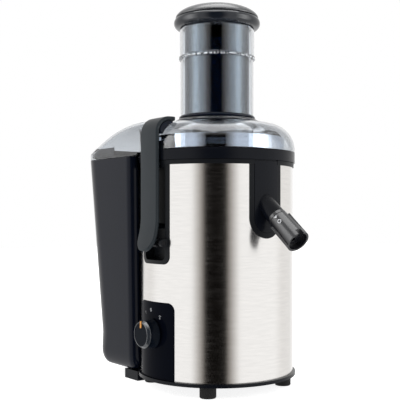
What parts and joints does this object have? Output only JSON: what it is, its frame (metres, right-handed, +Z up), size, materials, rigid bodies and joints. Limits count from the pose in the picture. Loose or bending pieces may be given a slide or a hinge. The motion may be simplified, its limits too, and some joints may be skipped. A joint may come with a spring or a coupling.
{
  "type": "centrifugal juicer",
  "caption": "Centrifugal juicer: round steel-sleeved motor base, spinning filter basket under a clear lid, wide feed tube with pusher, pulp container behind and turning spout.",
  "frame": {"origin": "centre of the overall box, on the table plane under the feet", "axes": "+Z up; the control knob faces -Y, the juice spout +X, the pulp container -X"},
  "size_m": [0.345, 0.2188, 0.46],
  "materials": {
    "shell": "horizontal brushing",
    "black": "satin",
    "housing": "satin",
    "charcoal": "satin",
    "latch": "satin",
    "gloss_black": "gloss",
    "knob": "satin",
    "orange": "gloss",
    "clear": "clear moulded plastic",
    "smoke": "dark tinted clear plastic",
    "rubber": "matt",
    "steel": "satin",
    "screw": "plated",
    "mesh": "perforated",
    "white": "satin",
    "iron": "laminated",
    "copper": "enamelled wire",
    "comm": "machined",
    "brass": "satin",
    "carbon": "matt",
    "alu": "cast",
    "board": "satin",
    "yellow": "satin",
    "dark_steel": "blackened",
    "dark": "satin"
  },
  "bodies": {
    "base": {"base_plate": "black", "rubber_feet": "rubber", "base_screws": "screw", "outer_shell": "shell", "inner_housing": "housing", "upper_housing": "housing", "motor_deck": "dark", "deck_screws": "screw", "control_panel": "gloss_black", "cord_gland": "dark", "fan_shroud": "dark", "motor_stator": "iron", "field_coils": "copper", "upper_bracket": "alu", "lower_bracket": "alu", "upper_bearing": "steel", "lower_bearing": "steel", "tie_bolts": "screw", "motor_mounts": "rubber", "motor_screws": "screw", "brush_holders": "brass", "carbon_brushes": "carbon", "speed_board": "board", "heat_sink": "alu", "suppressor": "yellow", "rotary_switch": "white", "interlock_switch": "dark", "shaft_seal": "rubber", "deck_ring": "dark", "juice_bowl": "black", "bowl_floor": "black", "spout_neck": "black", "spout_o_ring": "rubber", "lid": "clear", "feed_tube": "clear", "pulp_deflector": "dark", "lid_catches": "black", "latch_pins": "dark_steel"},
    "spinner": {"motor_shaft": "steel", "armature_core": "iron", "armature_windings": "copper", "commutator": "comm", "cooling_fan": "dark", "drive_coupling": "dark", "basket_hub": "white", "grater_disc": "steel", "filter_mesh": "mesh", "basket_rim": "steel"},
    "pusher": {"pusher_tube": "smoke", "pusher_cap": "gloss_black", "pusher_cap_top": "gloss_black"},
    "front_latch": {"front_latch": "latch"},
    "rear_latch": {"rear_latch": "latch"},
    "interlock_plunger": {"interlock_plunger": "dark"},
    "knob": {"speed_knob": "knob", "knob_pointer": "orange", "switch_spindle": "white"},
    "spout_sleeve": {"spout_sleeve": "black"},
    "pulp_container": {"pulp_container": "charcoal"}
  },
  "joints": [
    {"name": "spinner_turn", "type": "hinge", "parent": "base", "child": "spinner", "pos_m": [0.02152, 0.00064, 0.0001], "axis": [0, 0, 1], "continuous": true},
    {"name": "pusher_slide", "type": "slide", "parent": "base", "child": "pusher", "axis": [0, 0, 1], "range_m": [0, 0.19]},
    {"name": "front_latch_hinge", "type": "hinge", "parent": "base", "child": "front_latch", "pos_m": [0.02152, -0.09385, 0.173], "axis": [1, 0, 0], "range_deg": [0, 92]},
    {"name": "rear_latch_hinge", "type": "hinge", "parent": "base", "child": "rear_latch", "pos_m": [0.02152, 0.09514, 0.173], "axis": [-1, 0, 0], "range_deg": [0, 92]},
    {"name": "interlock_slide", "type": "slide", "parent": "base", "child": "interlock_plunger", "axis": [0, -1, 0], "range_m": [0, 0.003]},
    {"name": "knob_turn", "type": "hinge", "parent": "base", "child": "knob", "pos_m": [0.02152, -0.09935, 0.0688], "axis": [0, -1, 0], "range_deg": [-40, 40]},
    {"name": "spout_turn", "type": "hinge", "parent": "base", "child": "spout_sleeve", "pos_m": [0.14604, 0.00064, 0.19037], "axis": [0.788, 0, -0.6157], "range_deg": [0, 90]},
    {"name": "container_slide", "type": "slide", "parent": "base", "child": "pulp_container", "axis": [-1, 0, 0], "range_m": [0, 0.22]}
  ],
  "couplings": [
    {"joint": "interlock_slide", "follows": "front_latch_hinge", "m_per_rad": 0.0018}
  ]
}
